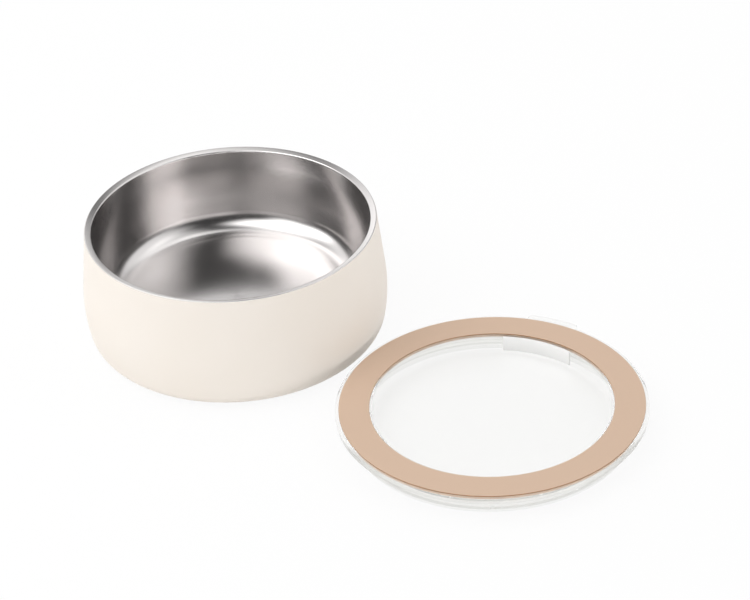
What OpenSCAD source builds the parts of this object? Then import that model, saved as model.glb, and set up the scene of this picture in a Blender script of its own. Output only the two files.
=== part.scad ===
// Pet bowl with a double steel wall, and its press-in lid lying beside it.
// Millimetres, +Z up. The origin is the middle of the bowl's base, on the floor.

/* [Bowl] */
// Height of the rim over the floor, before its edge is rounded
bowl_h = 77.5; // [70:0.5:100]
// Outside diameter of the rim
rim_d = 180; // [160:1:220]
// Width of the rim's sloping land
rim_w = 4.1; // [3:0.1:7]
// Fall of the land from its outer edge to the mouth
rim_drop = 1.3; // [0.6:0.1:2.5]
// Rounding of the land's edges
rim_edge_r = 1; // [0.9:0.1:1.4]
// Height of the weld lip below the land's underside
rim_lip = 0.4; // [0.3:0.1:2]

/* [Steel liner] */
// Depth of the floor below the rim
inner_depth = 54; // [46:0.5:64]
// Lean of the wall below the lid's seat, in degrees
wall_lean = 12; // [6:0.5:18]
// Radius where the straight seat bends into the leaning wall
bend_r = 95; // [40:1:100]
// Radius between wall and floor
corner_r = 14; // [10:0.5:20]
// Straight wall left below the lid's plug
seat_spare = 1; // [0.5:0.5:4]
// Sheet thickness of the liner
liner_t = 0.8; // [0.5:0.1:0.9]

/* [Coated shell] */
// How far the belly stands out past the rim
belly_out = 4.5; // [2:0.5:9]
// Height of the belly's widest point
belly_z = 29.5; // [20:0.5:40]
// Radius of the belly's curve
belly_r = 97; // [80:1:140]
// Radius of the heel under the belly
heel_r = 12; // [8:0.5:16]
// Sheet thickness of the shell
shell_t = 0.8; // [0.5:0.1:1.2]
// Width of the flange turned in under the base
base_flange_w = 5; // [3:0.5:10]

/* [Base] */
// Sheet thickness of the closing plate
plate_t = 0.8; // [0.5:0.1:1.5]
// Height of the plate's turned-up edge
plate_edge_h = 3; // [2:0.5:5]
// Gap between the plate's edge and the heel
plate_fit = 0.3; // [0.2:0.1:1]
// How far the grip pad stands below the shell
pad_proud = 0.9; // [0.5:0.1:2]
// Gap between the grip pad and the turned-in flange
pad_fit = 0.3; // [0.2:0.1:1]
// Spacing of the grip grooves
grip_pitch = 12; // [8:1:18]
// Width of a grip groove
grip_w = 2.5; // [1.5:0.5:4]
// Depth of a grip groove
grip_depth = 0.6; // [0.3:0.1:0.9]

/* [Lid body] */
// Depth of the plug below the flange
plug_h = 12; // [10:0.5:16]
// Thickness of the flange
flange_t = 3.8; // [3:0.1:5]
// How far the flange reaches past the bowl's rim
flange_out = 3; // [1:0.5:8]
// Rounding of the flange's upper edge
flange_edge_r = 1.2; // [0.6:0.1:1.6]
// Width of the lip outside the coloured ring
outer_lip_w = 2.2; // [1.8:0.1:4]
// Width of the lip inside the coloured ring
inner_lip_w = 1.2; // [1:0.1:4]
// Depth of the well in the middle, from the flange's top
well_depth = 12; // [8:0.5:13]
// Radius between the well's wall and its floor
well_corner_r = 2.5; // [1:0.5:4]
// Wall thickness of the moulded lid
lid_t = 2; // [1.5:0.1:2.4]
// Gap between the plug's foot and the bowl's mouth
foot_fit = 1.2; // [0.6:0.1:2]
// Height of the foot that holds the gasket up
foot_h = 2; // [1.5:0.1:3]
// Depth of the gasket's groove
groove_depth = 2.2; // [1.5:0.1:2.6]

/* [Pull tab] */
// Width of the tab
tab_w = 32; // [20:1:45]
// How far the tab stands out past the flange
tab_out = 5; // [3:0.5:12]
// Thickness of the tab
tab_t = 2; // [1.5:0.1:2.5]
// Step from the flange's top down to the tab
tab_step = 0.9; // [0.4:0.1:1.2]
// Rounding of the tab's corners
tab_corner_r = 3; // [1:0.5:5]
// Direction of the tab, in degrees from +X
tab_turn = 63; // [0:1:360]
// Sweep of the thumb pad inside the well, in degrees
thumb_sweep = 36; // [20:1:60]
// Thickness of the thumb pad
thumb_t = 0.6; // [0.3:0.1:1.2]

/* [Coloured ring] */
// Width of the ring
ring_w = 18.2; // [14:0.1:24]
// Thickness of the ring
ring_t = 2.2; // [1.6:0.1:3]
// Depth of the ring's seat in the lid
ring_sink = 1.8; // [0.6:0.1:1.9]
// Rounding of the ring's upper edges
ring_edge_r = 0.3; // [0.2:0.1:0.9]
// Gap on each side of the ring in its seat
ring_fit = 0.05; // [0.05:0.05:0.3]

/* [Gasket] */
// Thickness of the gasket's band
band_t = 1.4; // [1:0.1:2]
// Gap round the band in its groove
band_fit = 0.05; // [0.05:0.05:0.2]
// Number of sealing fins
fin_count = 3; // [2:1:3]
// How far a loose fin stands past the bowl's mouth
fin_squeeze = 0.6; // [0.3:0.1:1.2]
// Thickness of a fin at its root
fin_root_t = 1.3; // [1:0.1:1.8]
// Thickness of a fin at its tip
fin_tip_t = 0.5; // [0.3:0.1:0.9]

/* [Layout] */
// Direction from the bowl to the lid, in degrees from +X
lid_turn = -38.3; // [-180:0.1:180]
// Gap between the bowl's belly and the lid's flange
lid_gap = 6.2; // [4:0.1:60]

/* [Hidden] */
$fn = 128;
arc_step = 6;              // degrees between the points of an arc

rim_r = rim_d / 2;
mouth_r = rim_r - rim_w;
land_rise = atan(rim_drop / rim_w);
lip_low = bowl_h - liner_t * (1 + sin(land_rise)) / cos(land_rise) - rim_lip;
liner_floor_z = bowl_h - inner_depth;
bend_reach = bend_r * tan(wall_lean / 2);
bend_z = bowl_h - plug_h - seat_spare - bend_reach;
liner_corner_x = mouth_r - (bend_z - liner_floor_z) * tan(wall_lean);

// The belly and heel are two arcs that touch, and the upper wall is tangent to the belly.
belly_c = [rim_r + belly_out - belly_r, belly_z];
heel_dip = asin((belly_z - pad_proud - heel_r) / (belly_r - heel_r));
heel_c = belly_c + (belly_r - heel_r) * [cos(heel_dip), -sin(heel_dip)];
wall_top = [rim_r, lip_low] - belly_c;
wall_flare = atan2(wall_top[1], wall_top[0]) - acos(belly_r / norm(wall_top));
base_open_r = heel_c[0] - base_flange_w;

plate_z = pad_proud + shell_t;
plate_r = heel_c[0] - plate_fit;
plate_bend_r = 1.5;
pad_r = base_open_r - pad_fit;
pad_edge_r = 0.5;

flange_r = rim_r + flange_out;
flange_low_r = 0.5;
lid_top_z = plug_h + flange_t;
ring_out_r = flange_r - outer_lip_w;
ring_in_r = ring_out_r - ring_w;
ring_seat_z = lid_top_z - ring_sink;
well_r = ring_in_r - inner_lip_w;
well_edge_r = 0.8;
well_floor_z = lid_top_z - well_depth;
well_wall_r = well_r + lid_t;
panel_low_z = well_floor_z - lid_t;
foot_r = mouth_r - foot_fit;
groove_r = foot_r - groove_depth;
skirt_in_r = groove_r - lid_t;
foot_edge_r = 0.6;
skirt_edge_r = 0.8;

tab_r = flange_r + tab_out;
tab_root_r = ring_out_r + ring_fit + 0.2;
tab_top_z = lid_top_z - tab_step;
thumb_edge = 0.8;          // plain wall left above the thumb pad
thumb_foot_z = well_floor_z + well_corner_r / 2;

band_low_z = foot_h + band_fit;
band_high_z = plug_h - band_fit;
band_in_r = groove_r + band_fit;
band_out_r = band_in_r + band_t;
fin_pitch = (band_high_z - band_low_z) / fin_count;
fin_r = mouth_r + fin_squeeze;

lid_away = rim_r + belly_out + lid_gap + flange_r;

function flat(p) = [p[0], p[1]];
function unit(v) = v / norm(v);
function backwards(list) = [for (i = [len(list) - 1:-1:0]) list[i]];

// Points of an arc about c, from one angle to another
function arc(c, r, from, to) =
    let (n = max(1, ceil(abs(to - from) / arc_step)))
    [for (i = [0:n]) c + r * [cos(from + (to - from) * i / n), sin(from + (to - from) * i / n)]];

// The corner at p, between its neighbours a and b, rounded to the radius r
function corner(a, p, b, r) =
    let (u = unit(a - p), v = unit(b - p))
    let (half = acos(u * v) / 2)
    let (c = p + unit(u + v) * r / sin(half), reach = r / tan(half))
    let (s = p + u * reach - c, e = p + v * reach - c)
    let (from = atan2(s[1], s[0]), sweep = sign(cross(s, e)) * acos(unit(s) * unit(e)))
    arc(c, r, from, from + sweep);

// A path of [x, z, radius] as plain points, with its corners rounded
function rounded(path) =
    let (n = len(path))
    [for (i = [0:n - 1])
        let (p = path[i])
        each p[2] > 0
            ? corner(flat(path[(i + n - 1) % n]), flat(p), flat(path[(i + 1) % n]), p[2])
            : [flat(p)]];

// The normal to the right of the leg from a to b
function right_of(a, b) = let (d = unit(flat(b) - flat(a))) [d[1], -d[0]];

// The same path moved to its right by t, so that both bound a sheet of thickness t
function beside(path, t) =
    let (last = len(path) - 1)
    [for (i = [0:last])
        let (m = right_of(path[max(i - 1, 0)], path[max(i, 1)]))
        let (n = right_of(path[min(i, last - 1)], path[min(i + 1, last)]))
        let (p = flat(path[i]) + (m + n) * t / (1 + m * n))
        [p[0], p[1], path[i][2] > 0 ? max(0, path[i][2] + sign(cross(m, n)) * t) : 0]];

// A sheet of even thickness, spun about the Z axis
module spun_sheet(path, t) {
    rotate_extrude() polygon(concat(rounded(path), backwards(rounded(beside(path, t)))));
}

// Drawn steel bowl: floor, leaning wall, straight seat for the lid, sloping rim and weld lip
module inner_bowl() {
    color("silver") spun_sheet([
        [0, liner_floor_z, 0],
        [liner_corner_x, liner_floor_z, corner_r],
        [mouth_r, bend_z, bend_r],
        [mouth_r, bowl_h - rim_drop, rim_edge_r],
        [rim_r, bowl_h, rim_edge_r / 2],
        [rim_r, lip_low, 0]], liner_t);
}

// Coated outer wall: flared side, belly, heel and the flange turned in under the base
module outer_shell() {
    outside = concat(
        [[rim_r, lip_low]],
        arc(belly_c, belly_r, wall_flare, -heel_dip),
        arc(heel_c, heel_r, -heel_dip, -90),
        [[base_open_r, pad_proud]]);
    inside = concat(
        [[base_open_r, plate_z]],
        arc(heel_c, heel_r - shell_t, -90, -heel_dip),
        arc(belly_c, belly_r - shell_t, -heel_dip, wall_flare),
        [[rim_r - shell_t / cos(wall_flare), lip_low]]);
    color([0.95, 0.92, 0.87]) rotate_extrude() polygon(concat(outside, inside));
}

// Pressed pan that closes the base and lies on the turned-in flange
module base_plate() {
    color("gray") spun_sheet([
        [plate_r, plate_z + plate_edge_h, 0],
        [plate_r, plate_z, plate_bend_r],
        [0, plate_z, 0]], plate_t);
}

// Soft disc under the plate, with ring-shaped grip grooves
module base_pad() {
    color([0.80, 0.77, 0.72]) difference() {
        rotate_extrude() polygon(rounded([
            [0, 0, 0], [pad_r, 0, pad_edge_r], [pad_r, plate_z, 0], [0, plate_z, 0]]));
        for (r = [2 * grip_pitch:grip_pitch:pad_r - grip_pitch / 2])
            rotate_extrude() translate([r - grip_w / 2, -1]) square([grip_w, grip_depth + 1]);
    }
}

module at_lid() {
    translate([lid_away * cos(lid_turn), lid_away * sin(lid_turn), 0]) children();
}

// Section of the clear moulding: well floor and wall, deck, hollow plug, foot and flange
function lid_section() = rounded([
    [0, panel_low_z, 0],
    [well_wall_r, panel_low_z, skirt_edge_r],
    [well_wall_r, plug_h, skirt_edge_r],
    [skirt_in_r, plug_h, skirt_edge_r],
    [skirt_in_r, 0, foot_edge_r],
    [foot_r, 0, foot_edge_r],
    [foot_r, foot_h, foot_edge_r / 2],
    [groove_r, foot_h, 0],
    [groove_r, plug_h, 0],
    [flange_r, plug_h, flange_low_r],
    [flange_r, lid_top_z, flange_edge_r],
    [ring_out_r + ring_fit, lid_top_z, 0],
    [ring_out_r + ring_fit, ring_seat_z, 0],
    [ring_in_r - ring_fit, ring_seat_z, 0],
    [ring_in_r - ring_fit, lid_top_z, 0],
    [well_r, lid_top_z, well_edge_r],
    [well_r, well_floor_z, well_corner_r],
    [0, well_floor_z, 0]]);

// Pull tab, its outer edge bowed to run with the flange
module tab() {
    side_r = sqrt(tab_r * tab_r - tab_w * tab_w / 4);
    translate([0, 0, tab_top_z - tab_t]) linear_extrude(tab_t) polygon(rounded([
        [tab_root_r, -tab_w / 2, 0],
        [side_r, -tab_w / 2, tab_corner_r],
        [tab_r, 0, tab_r],
        [side_r, tab_w / 2, tab_corner_r],
        [tab_root_r, tab_w / 2, 0]]));
}

// Low pad on the well's wall, in line with the tab
module thumb_pad() {
    rotate([0, 0, -thumb_sweep / 2]) rotate_extrude(angle = thumb_sweep)
        translate([well_r - thumb_t, thumb_foot_z])
            square([thumb_t + lid_t / 2, lid_top_z - thumb_edge - thumb_foot_z]);
}

module lid_body() {
    color([0.90, 0.93, 0.95, 0.5]) at_lid() union() {
        rotate_extrude() polygon(lid_section());
        rotate([0, 0, tab_turn]) {
            tab();
            thumb_pad();
        }
    }
}

// Soft coloured ring bonded into its seat on the lid
module lid_ring() {
    color([0.85, 0.73, 0.64]) at_lid() translate([0, 0, ring_seat_z]) rotate_extrude()
        polygon(rounded([
            [ring_in_r, 0, 0],
            [ring_out_r, 0, 0],
            [ring_out_r, ring_t, ring_edge_r],
            [ring_in_r, ring_t, ring_edge_r]]));
}

// Clear seal in the plug's groove, with tapered fins that bear on the bowl's mouth
module lid_gasket() {
    fins = [for (i = [0:fin_count - 1])
        let (z = band_low_z + fin_pitch * (i + 0.5))
        each [[band_out_r, z - fin_root_t / 2],
              [fin_r, z - fin_tip_t / 2],
              [fin_r, z + fin_tip_t / 2],
              [band_out_r, z + fin_root_t / 2]]];
    color([0.93, 0.94, 0.95, 0.7]) at_lid() rotate_extrude() polygon(concat(
        [[band_in_r, band_low_z], [band_out_r, band_low_z]],
        fins,
        [[band_out_r, band_high_z], [band_in_r, band_high_z]]));
}

inner_bowl();
outer_shell();
base_plate();
base_pad();
lid_body();
lid_ring();
lid_gasket();
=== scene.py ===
import math

import bmesh
import bpy
from mathutils import Matrix, Vector


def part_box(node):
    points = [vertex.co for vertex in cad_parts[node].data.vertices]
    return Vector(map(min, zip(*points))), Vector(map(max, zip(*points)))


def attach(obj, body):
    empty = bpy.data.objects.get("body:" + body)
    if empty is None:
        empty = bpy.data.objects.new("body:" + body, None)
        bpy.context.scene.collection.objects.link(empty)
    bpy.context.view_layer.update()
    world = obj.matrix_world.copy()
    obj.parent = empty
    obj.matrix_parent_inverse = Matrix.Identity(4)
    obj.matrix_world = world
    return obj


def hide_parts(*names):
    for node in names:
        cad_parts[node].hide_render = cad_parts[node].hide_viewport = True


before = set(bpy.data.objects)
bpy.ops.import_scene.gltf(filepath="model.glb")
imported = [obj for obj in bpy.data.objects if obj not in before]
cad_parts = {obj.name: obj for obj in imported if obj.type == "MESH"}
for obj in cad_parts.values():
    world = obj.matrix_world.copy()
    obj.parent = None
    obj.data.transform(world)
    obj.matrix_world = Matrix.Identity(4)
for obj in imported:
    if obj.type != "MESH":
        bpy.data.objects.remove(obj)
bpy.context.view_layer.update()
mm = 0.001  # sizes in the dictionaries below are in millimetres, and angles in degrees
print("frame loaded:", ", ".join(sorted(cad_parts)))


def span(node):  # a CAD node's box in millimetres: middle, half width, bottom and top
    low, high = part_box(node)
    middle = [(a + b) / 2 / mm for a, b in zip(low, high)]
    return {"x": middle[0], "y": middle[1], "radius": (high[0] - low[0]) / 2 / mm,
            "bottom": low[2] / mm, "top": high[2] / mm}


def addNode(tree, kind, settings=None, values=None, links=None):
    node = tree.nodes.new(kind)
    for key, value in (settings or {}).items():
        setattr(node, key, value)
    for key, value in (values or {}).items():
        node.inputs[key].default_value = value
    for key, source in (links or {}).items():
        tree.links.new(source, node.inputs[key])
    return node


# outlines: points are (radius, height), and a path's third number rounds its corner

# facets in a whole turn, and the widest step and chord between an arc's points
rounding = {"facets": 256, "step": 3.0, "chord": 1.5,
            "smallRadius": 2.0, "smallStep": 9.0}  # corners under this radius take a wider step


def arc(centre, radius, start, stop, step=rounding["step"]):
    sweep = abs(stop - start)
    byTurn = math.ceil(sweep / step)
    byLength = math.ceil(radius * math.radians(sweep) / rounding["chord"])
    count = max(2, byTurn, byLength)
    turns = [math.radians(start + (stop - start) * i / count) for i in range(count + 1)]
    return [(centre[0] + radius * math.cos(t), centre[1] + radius * math.sin(t)) for t in turns]


def roundCorner(before, at, after, radius):
    at = Vector(at)
    one = (Vector(before) - at).normalized()
    two = (Vector(after) - at).normalized()
    half = one.angle(two) / 2
    centre = at + (one + two).normalized() * radius / math.sin(half)
    reach = radius / math.tan(half)
    start = at + one * reach - centre
    stop = at + two * reach - centre
    first = math.degrees(math.atan2(start.y, start.x))
    sweep = math.degrees(start.angle(stop)) * math.copysign(1, start.x * stop.y - start.y * stop.x)
    step = rounding["smallStep"] if radius < rounding["smallRadius"] else rounding["step"]
    return arc(centre, radius, first, first + sweep, step)


def outline(path):
    points = []
    for i, (r, z, radius) in enumerate(path):
        if radius > 0:
            points += roundCorner(path[i - 1][:2], (r, z), path[(i + 1) % len(path)][:2], radius)
        else:
            points.append((r, z))
    return points


def alongside(path, gap):  # the same path, moved to its right by gap
    def rightOf(a, b):
        d = (Vector(b[:2]) - Vector(a[:2])).normalized()
        return Vector((d.y, -d.x))

    moved = []
    last = len(path) - 1
    for i, (r, z, radius) in enumerate(path):
        one = rightOf(path[max(i - 1, 0)], path[max(i, 1)])
        two = rightOf(path[min(i, last - 1)], path[min(i + 1, last)])
        at = Vector((r, z)) + (one + two) * gap / (1 + one.dot(two))
        turn = one.x * two.y - one.y * two.x
        moved.append((at.x, at.y, max(0, radius + math.copysign(gap, turn)) if radius > 0 else 0))
    return moved


def sheet(path, gap):  # the closed loop round a sheet that follows the path, gap thick
    return outline(path) + outline(alongside(path, gap))[::-1]


# meshes

def finishMesh(name, mesh, material, sharp=32):
    mesh.name = name
    mesh.materials.clear()
    mesh.materials.append(material)
    mesh.shade_smooth()
    mesh.set_sharp_from_angle(angle=math.radians(sharp))
    piece = bpy.data.objects.new(name, mesh)
    bpy.context.scene.collection.objects.link(piece)
    return piece


def along(length, first=0.4, plain=3.0):  # shares of a straight run, close together at its ends
    if length < plain:
        return [0.0]
    ends = []
    while first < length / 2:
        ends.append(first / length)
        first *= 2
    return [0.0] + ends + [1 - share for share in reversed(ends)]


def turnedPoint(centre, r, z, t):  # a section's point, turned by t radians round the centre, in metres
    return ((centre[0] + r * math.cos(t)) * mm, (centre[1] + r * math.sin(t)) * mm, z * mm)


def spunMesh(name, loop, centre=(0.0, 0.0), facets=rounding["facets"]):
    onAxis = 1e-6
    dense = []
    for i, (r, z) in enumerate(loop):
        nextR, nextZ = loop[(i + 1) % len(loop)]
        length = math.hypot(nextR - r, nextZ - z) if max(r, nextR) > onAxis else 0
        dense += [(r + (nextR - r) * share, z + (nextZ - z) * share) for share in along(length)]
    verts = []
    rings = []
    for r, z in dense:
        count = 1 if r < onAxis else facets
        rings.append(range(len(verts), len(verts) + count))
        verts += [turnedPoint(centre, r, z, 2 * math.pi * k / facets) for k in range(count)]
    faces = []
    for one, two in zip(rings, rings[1:] + rings[:1]):
        if len(one) == len(two) == 1:
            continue
        for k in range(facets):
            n = (k + 1) % facets
            corners = [one[k % len(one)], one[n % len(one)], two[n % len(two)], two[k % len(two)]]
            faces.append(list(dict.fromkeys(corners)))  # three corners where a ring is the pole
    mesh = bpy.data.meshes.new(name)
    mesh.from_pydata(verts, [], faces)
    faceOutwards(mesh)
    return mesh


def faceOutwards(mesh, mergeWithin=1e-4):
    work = bmesh.new()
    work.from_mesh(mesh)
    bmesh.ops.remove_doubles(work, verts=work.verts, dist=mergeWithin * mm)
    bmesh.ops.recalc_face_normals(work, faces=work.faces)
    work.to_mesh(mesh)
    work.free()


def evaluated(piece):  # a plain mesh of what the modifiers give; the piece itself is removed
    shown = piece.evaluated_get(bpy.context.evaluated_depsgraph_get())
    mesh = bpy.data.meshes.new_from_object(shown)
    bpy.data.objects.remove(piece)
    return mesh


def ringRow(body, operation, inputs):
    # a row of rings with one section, joined to the body or cut out of it
    tree = bpy.data.node_groups.new("ringRow", "GeometryNodeTree")
    kinds = {"Body": "Geometry", "Centre": "Vector", "Rail Radius": "Float", "Root": "Float",
             "Tip": "Float", "Reach": "Float", "Turn": "Float", "Count": "Int", "Start": "Vector",
             "Step": "Vector", "Material": "Material"}
    sockets = {label: tree.interface.new_socket(label, in_out="INPUT", socket_type="NodeSocket" + kind)
               for label, kind in kinds.items()}
    tree.interface.new_socket("Ringed", in_out="OUTPUT", socket_type="NodeSocketGeometry")
    given = addNode(tree, "NodeGroupInput").outputs
    section = addNode(tree, "GeometryNodeCurvePrimitiveQuadrilateral", {"mode": "TRAPEZOID"},
                      {"Offset": 0.0}, {"Bottom Width": given["Root"], "Top Width": given["Tip"],
                                        "Height": given["Reach"]})
    turn = addNode(tree, "ShaderNodeCombineXYZ", links={"Z": given["Turn"]})
    turned = addNode(tree, "GeometryNodeTransform", links={"Geometry": section.outputs[0],
                                                           "Rotation": turn.outputs[0]})
    row = addNode(tree, "GeometryNodeMeshLine", links={"Count": given["Count"], "Offset": given["Step"],
                                                       "Start Location": given["Start"]})
    copies = addNode(tree, "GeometryNodeInstanceOnPoints", links={"Points": row.outputs[0],
                                                                  "Instance": turned.outputs[0]})
    sections = addNode(tree, "GeometryNodeRealizeInstances", links={0: copies.outputs[0]})
    rail = addNode(tree, "GeometryNodeCurvePrimitiveCircle", values={"Resolution": rounding["facets"]},
                   links={"Radius": given["Rail Radius"]})
    rings = addNode(tree, "GeometryNodeCurveToMesh", links={"Curve": rail.outputs[0],
                                                            "Profile Curve": sections.outputs[0]})
    placed = addNode(tree, "GeometryNodeTransform", links={"Geometry": rings.outputs[0],
                                                           "Translation": given["Centre"]})
    bodies = addNode(tree, "GeometryNodeMeshBoolean", {"operation": operation, "solver": "EXACT"},
                     links={"Mesh 2": placed.outputs[0]})
    tree.links.new(given["Body"], bodies.inputs["Mesh 2" if operation == "UNION" else "Mesh 1"])
    painted = addNode(tree, "GeometryNodeSetMaterial", links={"Geometry": bodies.outputs[0],
                                                              "Material": given["Material"]})
    addNode(tree, "NodeGroupOutput", links={0: painted.outputs[0]})
    piece = bpy.data.objects.new("ringRow", body)
    bpy.context.scene.collection.objects.link(piece)
    nodes = piece.modifiers.new("rings", "NODES")
    nodes.node_group = tree
    for label, value in inputs.items():
        nodes[sockets[label].identifier] = value
    mesh = evaluated(piece)
    faceOutwards(mesh)
    return mesh


# materials

def hexColour(code):  # sRGB hex to linear
    parts = [int(code[i:i + 2], 16) / 255 for i in (1, 3, 5)]
    return [c / 12.92 if c <= 0.04045 else ((c + 0.055) / 1.055) ** 2.4 for c in parts] + [1.0]


def newMaterial(name):
    material = bpy.data.materials.new(name)
    material.use_nodes = True
    material.node_tree.nodes.clear()
    return material, material.node_tree


def perMm(size):  # a texture's scale, from the size of its grain in millimetres
    return 1 / (size * mm)


def powderCoat():
    # polyester powder cured on steel: matte, a faint pebble in the sheen, no gloss line
    look = {"cream": "#EFE8E0", "shade": "#ECE4DA", "pebble": 1.1, "drift": 45, "depth": 0.05,
            "bump": 0.25, "smoothest": 0.5, "roughest": 0.6, "shine": 0.4}
    material, tree = newMaterial("mattePowderCoat")
    place = addNode(tree, "ShaderNodeTexCoord")
    drift = addNode(tree, "ShaderNodeTexNoise", values={"Scale": perMm(look["drift"]), "Detail": 2},
                    links={"Vector": place.outputs["Object"]})
    tint = addNode(tree, "ShaderNodeMix", {"data_type": "RGBA"},
                   {6: hexColour(look["shade"]), 7: hexColour(look["cream"])}, {0: drift.outputs["Fac"]})
    pebble = addNode(tree, "ShaderNodeTexNoise", values={"Scale": perMm(look["pebble"]), "Detail": 3},
                     links={"Vector": place.outputs["Object"]})
    bump = addNode(tree, "ShaderNodeBump", values={"Strength": look["bump"],
                                                   "Distance": look["depth"] * mm},
                   links={"Height": pebble.outputs["Fac"]})
    rough = addNode(tree, "ShaderNodeMapRange", values={"To Min": look["smoothest"],
                                                        "To Max": look["roughest"]},
                    links={"Value": pebble.outputs["Fac"]})
    shader = addNode(tree, "ShaderNodeBsdfPrincipled", values={"Specular IOR Level": look["shine"]},
                     links={"Base Color": tint.outputs[2], "Roughness": rough.outputs[0],
                            "Normal": bump.outputs[0]})
    addNode(tree, "ShaderNodeOutputMaterial", links={"Surface": shader.outputs[0]})
    return material


def satinSteel():
    # drawn stainless polished on a lathe: soft reflections, drawn out across its fine rings
    # a real lathe's rings are finer, and these are as coarse as they need to be to show
    look = {"steel": "#D7D4D3", "rings": 0.5, "depth": 0.004, "bump": 0.2, "smoothest": 0.17,
            "roughest": 0.23, "stretch": 0.4, "stretchTurn": 0.25}  # the last one in whole turns
    material, tree = newMaterial("satinStainlessSteel")
    place = addNode(tree, "ShaderNodeTexCoord")
    parts = addNode(tree, "ShaderNodeSeparateXYZ", links={0: place.outputs["Object"]})
    flat = addNode(tree, "ShaderNodeCombineXYZ", links={"X": parts.outputs["X"], "Y": parts.outputs["Y"]})
    radius = addNode(tree, "ShaderNodeVectorMath", {"operation": "LENGTH"}, links={0: flat.outputs[0]})
    section = addNode(tree, "ShaderNodeCombineXYZ", links={"X": radius.outputs["Value"],
                                                           "Y": parts.outputs["Z"]})
    rings = addNode(tree, "ShaderNodeTexNoise", values={"Scale": perMm(look["rings"]), "Detail": 2},
                    links={"Vector": section.outputs[0]})
    bump = addNode(tree, "ShaderNodeBump", values={"Strength": look["bump"],
                                                   "Distance": look["depth"] * mm},
                   links={"Height": rings.outputs["Fac"]})
    rough = addNode(tree, "ShaderNodeMapRange", values={"To Min": look["smoothest"],
                                                        "To Max": look["roughest"]},
                    links={"Value": rings.outputs["Fac"]})
    turned = addNode(tree, "ShaderNodeTangent", {"direction_type": "RADIAL", "axis": "Z"})
    shader = addNode(tree, "ShaderNodeBsdfPrincipled",
                     values={"Base Color": hexColour(look["steel"]), "Metallic": 1.0,
                             "Anisotropic": look["stretch"], "Anisotropic Rotation": look["stretchTurn"]},
                     links={"Roughness": rough.outputs[0], "Normal": bump.outputs[0],
                            "Tangent": turned.outputs[0]})
    addNode(tree, "ShaderNodeOutputMaterial", links={"Surface": shader.outputs[0]})
    return material


def millSteel():
    # cold-rolled stainless as it leaves the mill: dull grey, with faint straight rolling lines
    look = {"steel": "#A9A8A5", "line": 0.6, "length": 30.0, "smoothest": 0.32, "roughest": 0.46}
    material, tree = newMaterial("coldRolledSteel")
    place = addNode(tree, "ShaderNodeTexCoord")
    rolled = addNode(tree, "ShaderNodeMapping", values={"Scale": (look["line"] / look["length"], 1, 1)},
                     links={"Vector": place.outputs["Object"]})
    lines = addNode(tree, "ShaderNodeTexNoise", values={"Scale": perMm(look["line"]), "Detail": 2},
                    links={"Vector": rolled.outputs[0]})
    rough = addNode(tree, "ShaderNodeMapRange", values={"To Min": look["smoothest"],
                                                        "To Max": look["roughest"]},
                    links={"Value": lines.outputs["Fac"]})
    shader = addNode(tree, "ShaderNodeBsdfPrincipled",
                     values={"Base Color": hexColour(look["steel"]), "Metallic": 1.0},
                     links={"Roughness": rough.outputs[0]})
    addNode(tree, "ShaderNodeOutputMaterial", links={"Surface": shader.outputs[0]})
    return material


def clearPlastic(name, clear, roughness, grain):
    # copolyester or silicone moulded without pigment: clear, with pale soft edges and a trace of milk
    # an IOR far under a solid block's keeps the thin walls pale, and the coat gives them their gloss
    look = {"milk": "#FEFEFD", "depth": 0.02, "bump": 0.1, "vary": 0.2, "bends": 1.06,
            "gloss": 0.5, "glossBlur": 0.3}
    material, tree = newMaterial(name)
    place = addNode(tree, "ShaderNodeTexCoord")
    flow = addNode(tree, "ShaderNodeTexNoise", values={"Scale": perMm(grain), "Detail": 1},
                   links={"Vector": place.outputs["Object"]})
    bump = addNode(tree, "ShaderNodeBump", values={"Strength": look["bump"],
                                                   "Distance": look["depth"] * mm},
                   links={"Height": flow.outputs["Fac"]})
    rough = addNode(tree, "ShaderNodeMapRange", values={"To Min": roughness * (1 - look["vary"]),
                                                        "To Max": roughness * (1 + look["vary"])},
                    links={"Value": flow.outputs["Fac"]})
    shader = addNode(tree, "ShaderNodeBsdfPrincipled",
                     values={"Base Color": hexColour(look["milk"]), "IOR": look["bends"],
                             "Transmission Weight": clear, "Coat Weight": look["gloss"],
                             "Coat Roughness": look["glossBlur"]},
                     links={"Roughness": rough.outputs[0], "Normal": bump.outputs[0]})
    addNode(tree, "ShaderNodeOutputMaterial", links={"Surface": shader.outputs[0]})
    return material


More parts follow.
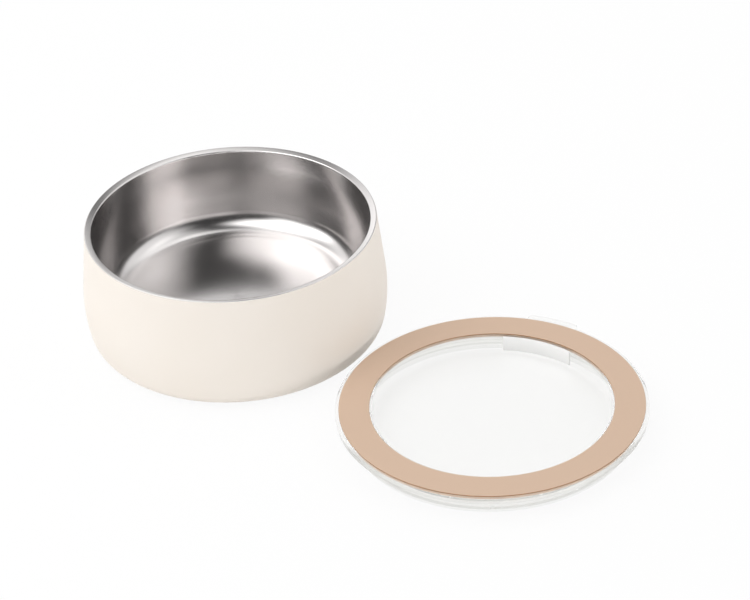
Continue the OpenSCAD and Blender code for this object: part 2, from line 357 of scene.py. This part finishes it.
def softRubber(name, light, dark, grain, roughness, edge=None):
    # moulded elastomer: even colour, a fine mould texture that breaks up the sheen
    # an edge, where one is given, is painted shade: a darker line round the ring's top on its steep faces,
    # standing in for the shade on its side and in the gap beside it
    # it comes in as the face turns from level to steep, by the height of its normal
    look = {"depth": 0.03, "bump": 0.2, "level": 0.9, "steep": 0.5}
    material, tree = newMaterial(name)
    place = addNode(tree, "ShaderNodeTexCoord")
    speck = addNode(tree, "ShaderNodeTexNoise", values={"Scale": perMm(grain), "Detail": 3},
                    links={"Vector": place.outputs["Object"]})
    tint = addNode(tree, "ShaderNodeMix", {"data_type": "RGBA"}, {6: hexColour(dark), 7: hexColour(light)},
                   {0: speck.outputs["Fac"]})
    if edge:
        # painted shade: darker brown on steep faces near the given height
        facing = addNode(tree, "ShaderNodeSeparateXYZ", links={0: place.outputs["Normal"]})
        height = addNode(tree, "ShaderNodeSeparateXYZ", links={0: place.outputs["Object"]})
        side = addNode(tree, "ShaderNodeMapRange", values={"From Min": look["level"],
                                                           "From Max": look["steep"]},
                       links={"Value": facing.outputs["Z"]})
        upper = addNode(tree, "ShaderNodeMapRange", values={"From Min": edge["from"] * mm,
                                                            "From Max": edge["to"] * mm},
                        links={"Value": height.outputs["Z"]})
        share = addNode(tree, "ShaderNodeMath", {"operation": "MULTIPLY"},
                        links={0: side.outputs[0], 1: upper.outputs[0]})
        tint = addNode(tree, "ShaderNodeMix", {"data_type": "RGBA"}, {7: hexColour(edge["colour"])},
                       {0: share.outputs[0], 6: tint.outputs[2]})
    bump = addNode(tree, "ShaderNodeBump", values={"Strength": look["bump"],
                                                   "Distance": look["depth"] * mm},
                   links={"Height": speck.outputs["Fac"]})
    shader = addNode(tree, "ShaderNodeBsdfPrincipled", values={"Roughness": roughness},
                     links={"Base Color": tint.outputs[2], "Normal": bump.outputs[0]})
    addNode(tree, "ShaderNodeOutputMaterial", links={"Surface": shader.outputs[0]})
    return material


# the bowl

bowl = {"rimRadius": span("inner_bowl")["radius"], "height": 77.5, "landWidth": 4.1, "landFall": 1.3,
        "landRound": 1.0, "lip": 0.4, "sheet": 0.8}
landRise = math.atan(bowl["landFall"] / bowl["landWidth"])
mouthRadius = bowl["rimRadius"] - bowl["landWidth"]
lipLow = bowl["height"] - bowl["sheet"] * (1 + math.sin(landRise)) / math.cos(landRise) - bowl["lip"]


def steelLiner():
    size = {"depth": 54.0, "lean": 12.0, "bend": 95.0, "corner": 14.0, "seat": 13.0}
    lean = math.radians(size["lean"])
    floor = bowl["height"] - size["depth"]
    bendZ = bowl["height"] - size["seat"] - size["bend"] * math.tan(lean / 2)
    path = [(0, floor, 0),
            (mouthRadius - (bendZ - floor) * math.tan(lean), floor, size["corner"]),
            (mouthRadius, bendZ, size["bend"]),
            (mouthRadius, bowl["height"] - bowl["landFall"], bowl["landRound"]),
            (bowl["rimRadius"], bowl["height"], bowl["landRound"] / 2),
            (bowl["rimRadius"], lipLow, 0)]
    piece = finishMesh("steelLiner", spunMesh("steelLiner", sheet(path, bowl["sheet"])), satinSteel())
    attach(piece, "bowl")
    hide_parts("inner_bowl")


def coatedShell():
    size = {"bellyOut": 4.5, "bellyHeight": 29.5, "bellyRadius": 97.0, "heel": 12.0, "base": 0.9,
            "flange": 5.0, "coat": 0.12, "coatGap": 0.01, "bareEdge": 0.7}
    belly = (bowl["rimRadius"] + size["bellyOut"] - size["bellyRadius"], size["bellyHeight"])
    dip = math.degrees(math.asin((size["bellyHeight"] - size["base"] - size["heel"])
                                 / (size["bellyRadius"] - size["heel"])))
    heel = (belly[0] + (size["bellyRadius"] - size["heel"]) * math.cos(math.radians(dip)),
            belly[1] - (size["bellyRadius"] - size["heel"]) * math.sin(math.radians(dip)))
    top = (bowl["rimRadius"] - belly[0], lipLow - belly[1])
    flare = math.degrees(math.atan2(top[1], top[0]) - math.acos(size["bellyRadius"] / math.hypot(*top)))
    opening = heel[0] - size["flange"]
    inner = bowl["sheet"]
    coatTop = bowl["height"] - size["bareEdge"]  # the coat runs over the weld and stops short of the rim
    coatIn = bowl["rimRadius"] + size["coatGap"]
    skin = bowl["rimRadius"] + size["coat"]
    loop = [(coatIn, coatTop), (skin, coatTop - size["coat"]), (skin, lipLow)]
    loop += arc(belly, size["bellyRadius"], flare, -dip)
    loop += arc(heel, size["heel"], -dip, -90)
    loop += [(opening, size["base"]), (opening, size["base"] + inner)]
    loop += arc(heel, size["heel"] - inner, -90, -dip)
    loop += arc(belly, size["bellyRadius"] - inner, -dip, flare)
    loop += [(bowl["rimRadius"] - inner / math.cos(math.radians(flare)), lipLow), (coatIn, lipLow)]
    piece = finishMesh("coatedShell", spunMesh("coatedShell", loop), powderCoat())
    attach(piece, "bowl")
    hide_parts("outer_shell")


def gripPad():
    padSpan = span("base_pad")
    size = {"edge": 0.5, "edgeStep": 15, "pitch": 12.0, "width": 2.5, "depth": 0.6, "over": 0.2,
            "first": 24.0}
    corner = (padSpan["radius"] - size["edge"], size["edge"])
    loop = [(0, 0)] + arc(corner, size["edge"], -90, 0, size["edgeStep"])
    loop += [(padSpan["radius"], padSpan["top"]), (0, padSpan["top"])]
    disc = spunMesh("padDisc", loop)
    count = 1 + int((padSpan["radius"] - size["pitch"] / 2 - size["first"]) / size["pitch"])
    material = softRubber("nonSlipSilicone", light="#CFC8BC", dark="#C8C1B4", grain=0.8, roughness=0.6)
    mesh = ringRow(disc, "DIFFERENCE", {
        "Centre": (0, 0, 0), "Rail Radius": size["first"] * mm, "Root": size["width"] * mm,
        "Tip": size["width"] * mm, "Reach": (size["depth"] + size["over"]) * mm, "Turn": 0.0,
        "Count": count, "Start": (0, -(size["depth"] - size["over"]) / 2 * mm, 0),
        "Step": (size["pitch"] * mm, 0, 0), "Material": material})
    piece = finishMesh("gripPad", mesh, material)
    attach(piece, "bowl")
    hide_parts("base_pad")


steelLiner()
coatedShell()
gripPad()
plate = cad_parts["base_plate"]
plate.data.materials.clear()
plate.data.materials.append(millSteel())
print("bowl built")


# the lid

ringSpan = span("lid_ring")
lid = {"centre": (ringSpan["x"], ringSpan["y"]), "plug": 12.0, "flange": 3.8, "overhang": 3.0, "wall": 2.0,
       "ringWidth": 18.2, "ringFit": 0.05, "wellLip": 1.2, "wellDepth": 12.0, "wellCorner": 2.5,
       "footGap": 1.2, "footHeight": 2.0, "grooveDepth": 2.2, "tabTurn": 63.0,
       "facets": 384}  # clear walls need a finer round than the rest
lidTop = lid["plug"] + lid["flange"]
flangeRadius = bowl["rimRadius"] + lid["overhang"]
ringOut = ringSpan["radius"]
ringSeat = ringSpan["bottom"]
ringIn = ringOut - lid["ringWidth"]
wellRadius = ringIn - lid["wellLip"]
wellFloor = lidTop - lid["wellDepth"]
footRadius = mouthRadius - lid["footGap"]
grooveRadius = footRadius - lid["grooveDepth"]


def lidMoulding():
    size = {"round": 0.8, "foot": 0.6, "flangeTop": 1.2, "flangeLow": 0.5}
    wallOut = wellRadius + lid["wall"]
    skirtIn = grooveRadius - lid["wall"]
    fit = lid["ringFit"]
    path = [(0, wellFloor - lid["wall"], 0),
            (wallOut, wellFloor - lid["wall"], size["round"]),
            (wallOut, lid["plug"], size["round"]),
            (skirtIn, lid["plug"], size["round"]),
            (skirtIn, 0, size["foot"]),
            (footRadius, 0, size["foot"]),
            (footRadius, lid["footHeight"], size["foot"] / 2),
            (grooveRadius, lid["footHeight"], 0),
            (grooveRadius, lid["plug"], 0),
            (flangeRadius, lid["plug"], size["flangeLow"]),
            (flangeRadius, lidTop, size["flangeTop"]),
            (ringOut + fit, lidTop, 0),
            (ringOut + fit, ringSeat, 0),
            (ringIn - fit, ringSeat, 0),
            (ringIn - fit, lidTop, 0),
            (wellRadius, lidTop, size["round"]),
            (wellRadius, wellFloor, lid["wellCorner"]),
            (0, wellFloor, 0)]
    material = clearPlastic("clearCopolyester", clear=0.96, roughness=0.16, grain=25)
    mesh = spunMesh("lidBody", outline(path), lid["centre"], lid["facets"])
    body = finishMesh("lidBody", mesh, material)
    tab = finishMesh("lidTab", tabMesh(), material)
    union = body.modifiers.new("tab", "BOOLEAN")
    union.operation = "UNION"
    union.object = tab
    union.solver = "EXACT"
    piece = finishMesh("lidMoulding", evaluated(body), material)
    bpy.data.objects.remove(tab)
    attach(piece, "lid")
    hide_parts("lid_body")


def tabMesh():
    size = {"width": 32.0, "out": 5.0, "rootGap": 0.2, "thick": 2.0, "step": 0.9, "corner": 3.0,
            "edge": 0.5, "edgeSteps": 4}
    levelWithin = 1e-6
    reach = flangeRadius + size["out"]
    root = ringOut + lid["ringFit"] + size["rootGap"]
    half = size["width"] / 2
    side = math.sqrt(reach ** 2 - half ** 2)
    flat = outline([(root, -half, 0), (side, -half, size["corner"]), (reach, 0, reach),
                    (side, half, size["corner"]), (root, half, 0)])
    top = lidTop - size["step"]
    turn = math.radians(lid["tabTurn"])
    work = bmesh.new()
    low = []
    for x, y in flat:
        low.append(work.verts.new(((lid["centre"][0] + x * math.cos(turn) - y * math.sin(turn)) * mm,
                                   (lid["centre"][1] + x * math.sin(turn) + y * math.cos(turn)) * mm,
                                   (top - size["thick"]) * mm)))
    base = work.faces.new(low)
    raised = bmesh.ops.extrude_face_region(work, geom=[base])["geom"]
    moved = [v for v in raised if isinstance(v, bmesh.types.BMVert)]
    bmesh.ops.translate(work, verts=moved, vec=(0, 0, size["thick"] * mm))
    bmesh.ops.recalc_face_normals(work, faces=work.faces)
    rims = [e for e in work.edges if abs(e.verts[0].co.z - e.verts[1].co.z) < levelWithin * mm]
    bmesh.ops.bevel(work, geom=rims, offset=size["edge"] * mm, segments=size["edgeSteps"], profile=0.5,
                    affect="EDGES")
    mesh = bpy.data.meshes.new("lidTab")
    work.to_mesh(mesh)
    work.free()
    return mesh


def paintedReflectionPad():
    # a white opaque sheet on the well's wall in line with the tab: painted reflection, standing in for a
    # soft box's reflection in the clear wall
    size = {"sweep": 36.0, "steps": 48, "thick": 0.6, "bare": 0.8, "dip": 30.0, "dipStep": 6, "gap": 0.03,
            "edge": 0.2, "edgeFoot": 1.0}
    high = lidTop - size["bare"]
    outer = wellRadius - size["gap"]
    inner = outer - size["thick"]
    corner = lid["wellCorner"]
    back = arc((wellRadius - corner, wellFloor + corner), corner - size["gap"], -size["dip"], 0,
               size["dipStep"])
    loop = [(inner, back[0][1])] + back
    loop += outline([(outer, high, 0), (inner, high, size["edge"]), (inner, high - size["edgeFoot"], 0)])
    work = bmesh.new()
    rows = []
    for k in range(size["steps"] + 1):
        t = math.radians(lid["tabTurn"] + size["sweep"] * (k / size["steps"] - 0.5))
        rows.append([work.verts.new(turnedPoint(lid["centre"], r, z, t)) for r, z in loop])
    for one, two in zip(rows, rows[1:]):
        for i in range(len(loop)):
            n = (i + 1) % len(loop)
            work.faces.new((one[i], one[n], two[n], two[i]))
    work.faces.new(rows[0])
    work.faces.new(rows[-1])
    bmesh.ops.recalc_face_normals(work, faces=work.faces)
    mesh = bpy.data.meshes.new("paintedReflectionPad")
    work.to_mesh(mesh)
    work.free()
    material = clearPlastic("paintedReflectionCopolyester", clear=0.0, roughness=0.5, grain=0.6)
    piece = finishMesh("paintedReflectionPad", mesh, material)
    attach(piece, "lid")


def softRing():
    # the line is painted shade: a darker brown on the ring's steep sides just under its top, for the shade
    # on its side and in the gap beside it
    size = {"edge": 0.3, "line": "#9C6C3C", "lineDrop": 0.2, "lineFade": 0.3}
    bottom = ringSeat + lid["ringFit"]  # faces in one plane would hide the ring from below
    path = [(ringIn, bottom, 0), (ringOut, bottom, 0), (ringOut, ringSpan["top"], size["edge"]),
            (ringIn, ringSpan["top"], size["edge"])]
    full = lidTop - size["lineDrop"]
    paintedShadeLine = {"colour": size["line"], "from": full - size["lineFade"], "to": full}
    material = softRubber("tanSoftRubber", light="#D6BAA3", dark="#D2B59D", grain=0.7, roughness=0.5,
                          edge=paintedShadeLine)
    mesh = spunMesh("softRing", outline(path), lid["centre"], lid["facets"])
    piece = finishMesh("softRing", mesh, material)
    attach(piece, "lid")
    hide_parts("lid_ring")


def finnedGasket():
    size = {"band": 1.4, "fit": 0.05, "fins": 3, "squeeze": 0.6, "root": 1.3, "tip": 0.5, "sunk": 0.3}
    low = lid["footHeight"] + size["fit"]
    high = lid["plug"] - size["fit"]
    near = grooveRadius + size["fit"]
    far = near + size["band"]
    pitch = (high - low) / size["fins"]
    reach = mouthRadius + size["squeeze"] - far + size["sunk"]
    band = spunMesh("sealBand", [(near, low), (far, low), (far, high), (near, high)], lid["centre"])
    material = clearPlastic("clearSilicone", clear=0.96, roughness=0.25, grain=3.0)
    # a fin's section lies in the rail's plane: x runs outwards and y downwards
    mesh = ringRow(band, "UNION", {
        "Centre": (lid["centre"][0] * mm, lid["centre"][1] * mm, 0), "Rail Radius": far * mm,
        "Root": size["root"] * mm, "Tip": size["tip"] * mm, "Reach": reach * mm, "Turn": -math.pi / 2,
        "Count": size["fins"], "Start": ((reach / 2 - size["sunk"]) * mm, -(low + pitch / 2) * mm, 0),
        "Step": (0, -pitch * mm, 0), "Material": material})
    piece = finishMesh("finnedGasket", mesh, material)
    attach(piece, "lid")
    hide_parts("lid_gasket")


lidMoulding()
paintedReflectionPad()
softRing()
finnedGasket()
print("lid built")


# stage, light and camera

def paleFloor():
    # white paper: to the camera, metal and glass mostly an even white glow, and the rest takes the shadow
    size = {"half": 40000.0, "drop": 0.1, "white": "#F6F6F6", "glow": 0.92}
    work = bmesh.new()
    bmesh.ops.create_grid(work, x_segments=1, y_segments=1, size=size["half"] * mm)
    bmesh.ops.translate(work, verts=work.verts, vec=(0, 0, -size["drop"] * mm))
    mesh = bpy.data.meshes.new("paleFloor")
    work.to_mesh(mesh)
    work.free()
    material, tree = newMaterial("whitePaperSweep")
    path = addNode(tree, "ShaderNodeLightPath")
    seen = addNode(tree, "ShaderNodeMath", {"operation": "MAXIMUM"},
                   links={0: path.outputs["Is Camera Ray"], 1: path.outputs["Is Glossy Ray"]})
    seen = addNode(tree, "ShaderNodeMath", {"operation": "MAXIMUM"},
                   links={0: seen.outputs[0], 1: path.outputs["Is Transmission Ray"]})
    share = addNode(tree, "ShaderNodeMath", {"operation": "MULTIPLY"}, {1: size["glow"]},
                    {0: seen.outputs[0]})
    paper = addNode(tree, "ShaderNodeBsdfDiffuse", values={"Color": hexColour(size["white"])})
    glow = addNode(tree, "ShaderNodeEmission", values={"Strength": 1.0})
    mix = addNode(tree, "ShaderNodeMixShader", links={0: share.outputs[0], 1: paper.outputs[0],
                                                      2: glow.outputs[0]})
    addNode(tree, "ShaderNodeOutputMaterial", links={"Surface": mix.outputs[0]})
    floor = finishMesh("paleFloor", mesh, material)


def softWorld():
    # a pale horizon under a dim studio roof; the soft boxes do the rest
    look = {"white": "#FFFFFF", "horizon": 0.8, "roof": 0.05, "paleTo": 6, "dimFrom": 14}
    world = bpy.data.worlds.new("studio")
    bpy.context.scene.world = world
    world.use_nodes = True
    tree = world.node_tree
    tree.nodes.clear()
    place = addNode(tree, "ShaderNodeTexCoord")
    rise = addNode(tree, "ShaderNodeSeparateXYZ", links={0: place.outputs["Generated"]})
    level = addNode(tree, "ShaderNodeMapRange", {"interpolation_type": "SMOOTHSTEP"},
                    {"From Min": math.sin(math.radians(look["paleTo"])),
                     "From Max": math.sin(math.radians(look["dimFrom"])),
                     "To Min": look["horizon"], "To Max": look["roof"]}, {"Value": rise.outputs["Z"]})
    light = addNode(tree, "ShaderNodeBackground", values={"Color": hexColour(look["white"])},
                    links={"Strength": level.outputs[0]})
    addNode(tree, "ShaderNodeOutputWorld", links={"Surface": light.outputs[0]})


def softbox(name, azimuth, elevation, wide, high, glow):
    # its width and height are angles seen from the object; a glow of 1 is white, and fades to the edges
    look = {"away": 2000.0, "core": 0.25}  # the core is the share from middle to edge at full glow
    away = look["away"] * mm
    data = bpy.data.lights.new(name, "AREA")
    data.shape = "RECTANGLE"
    data.size = 2 * away * math.tan(math.radians(wide / 2))
    data.size_y = 2 * away * math.tan(math.radians(high / 2))
    data.energy = math.pi * data.size * data.size_y * glow
    data.use_nodes = True
    tree = data.node_tree
    tree.nodes.clear()
    face = addNode(tree, "ShaderNodeNewGeometry")
    middle = addNode(tree, "ShaderNodeVectorMath", {"operation": "MULTIPLY_ADD"},
                     {1: (2, 2, 0), 2: (-1, -1, 0)},  # 0 to 1 across the lamp becomes -1 to 1
                     {0: face.outputs["Parametric"]})
    sides = addNode(tree, "ShaderNodeVectorMath", {"operation": "ABSOLUTE"}, links={0: middle.outputs[0]})
    parts = addNode(tree, "ShaderNodeSeparateXYZ", links={0: sides.outputs[0]})
    fades = [addNode(tree, "ShaderNodeMapRange", {"interpolation_type": "SMOOTHSTEP"},
                     {"From Min": look["core"], "From Max": 1.0, "To Min": 1.0, "To Max": 0.0},
                     {"Value": parts.outputs[side]}).outputs[0] for side in ("X", "Y")]
    fade = addNode(tree, "ShaderNodeMath", {"operation": "MULTIPLY"}, links={0: fades[0], 1: fades[1]})
    shine = addNode(tree, "ShaderNodeEmission", links={"Strength": fade.outputs[0]})
    addNode(tree, "ShaderNodeOutputLight", links={"Surface": shine.outputs[0]})
    lamp = bpy.data.objects.new(name, data)
    turn = math.radians(azimuth)
    rise = math.radians(elevation)
    out = Vector((math.cos(turn) * math.cos(rise), math.sin(turn) * math.cos(rise), math.sin(rise)))
    lamp.location = out * away
    lamp.rotation_euler = out.to_track_quat("Z", "Y").to_euler()
    bpy.context.scene.collection.objects.link(lamp)


def photoCamera():
    look = {"x": 86.2, "y": -1514.9, "z": 1015.2, "pitch": 33.469, "roll": -2.97, "lens": 139.2,
            "sensor": 36.0, "farthest": 100000.0}
    data = bpy.data.cameras.new("photoCamera")
    data.lens = look["lens"]
    data.sensor_width = look["sensor"]
    data.sensor_fit = "HORIZONTAL"
    data.clip_end = look["farthest"] * mm
    camera = bpy.data.objects.new("photoCamera", data)
    place = Matrix.Translation(Vector((look["x"], look["y"], look["z"])) * mm)
    tilt = Matrix.Rotation(math.radians(90 - look["pitch"]), 4, "X")
    camera.matrix_world = place @ tilt @ Matrix.Rotation(math.radians(look["roll"]), 4, "Z")
    bpy.context.scene.collection.objects.link(camera)
    bpy.context.scene.camera = camera


paleFloor()
softWorld()
softbox("frontStrip", azimuth=-73, elevation=6, wide=120, high=13, glow=4.45)
softbox("leftKey", azimuth=-150, elevation=65, wide=80, high=46, glow=2.3)
softbox("leftSide", azimuth=-158, elevation=41, wide=72, high=44, glow=2.15)
softbox("rightFill", azimuth=8, elevation=38, wide=100, high=62, glow=1.0)
softbox("rightTop", azimuth=30, elevation=65, wide=80, high=46, glow=0.75)
softbox("rightStrip", azimuth=5, elevation=6, wide=90, high=13, glow=1.6)
softbox("backFill", azimuth=140, elevation=30, wide=120, high=60, glow=1.08)
softbox("backLow", azimuth=80, elevation=27, wide=80, high=30, glow=0.45)
softbox("backTop", azimuth=90, elevation=73, wide=62, high=42, glow=0.85)
photoCamera()
bpy.context.scene.view_settings.view_transform = "Standard"
print("stage, light and camera set")
